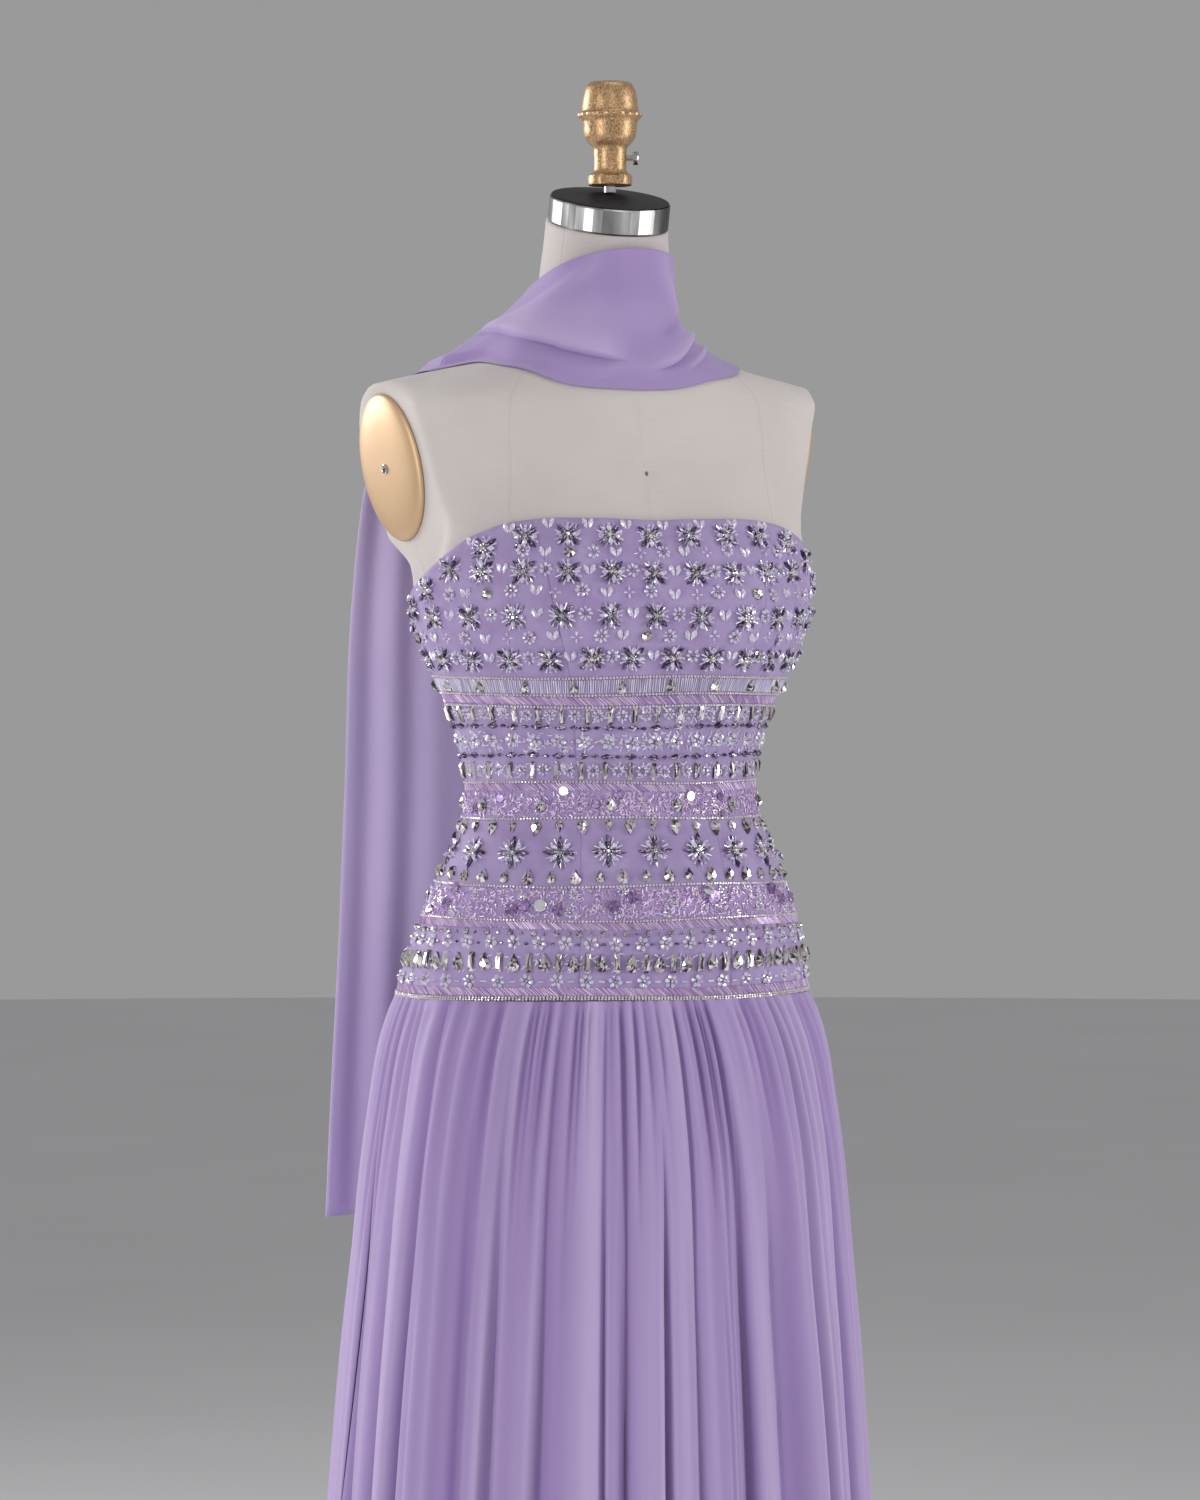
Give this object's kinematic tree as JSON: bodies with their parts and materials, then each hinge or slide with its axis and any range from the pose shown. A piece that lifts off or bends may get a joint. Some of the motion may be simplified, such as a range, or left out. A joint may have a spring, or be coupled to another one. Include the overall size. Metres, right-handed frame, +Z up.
{
  "type": "strapless drop waist evening dress on dress form",
  "caption": "Strapless drop waist evening dress with a beaded hip length bodice, gathered floor length chiffon skirt and throat scarf, standing on a limbless dress form.",
  "frame": {"origin": "a point on the underside of the stand's base, straight below the neck, on the floor", "axes": "+Z up through the neck, -Y is the front of the dress, -X is the wearer's right side"},
  "size_m": [0.5275, 0.46, 1.5962],
  "materials": {
    "linen": "matt woven linen",
    "steel": "brushed",
    "dark_plate": "dark satin",
    "cast_bronze": "speckled cast bronze",
    "gold_plate": "glossy gold lacquer",
    "chrome": "polished",
    "chiffon": "soft lilac chiffon",
    "beaded_cloth": "lilac cloth covered in crystal beads"
  },
  "bodies": {
    "root": {"form_torso": "linen", "neck_ring": "steel", "neck_cap": "dark_plate", "finial_stem": "chrome", "finial": "cast_bronze", "thumb_screw": "chrome", "arm_plate_right": "gold_plate", "arm_plate_left": "gold_plate", "plate_screw_right": "chrome", "plate_screw_left": "chrome", "stand_pole": "steel", "stand_base": "steel", "bodice_front": "beaded_cloth", "bodice_side_right": "beaded_cloth", "bodice_side_left": "beaded_cloth", "bodice_back_right": "beaded_cloth", "bodice_back_left": "beaded_cloth", "zip_slider": "chrome", "skirt_front": "chiffon", "skirt_back": "chiffon", "scarf_front": "chiffon", "scarf_tail_right": "chiffon", "scarf_tail_left": "chiffon"},
    "zip_pull": {"zip_pull": "chrome"}
  },
  "joints": [
    {"name": "zip_pull_hinge", "type": "hinge", "parent": "root", "child": "zip_pull", "pos_m": [0, 0.11113, 1.14728], "axis": [1, 0, 0], "range_deg": [0, 120]}
  ]
}
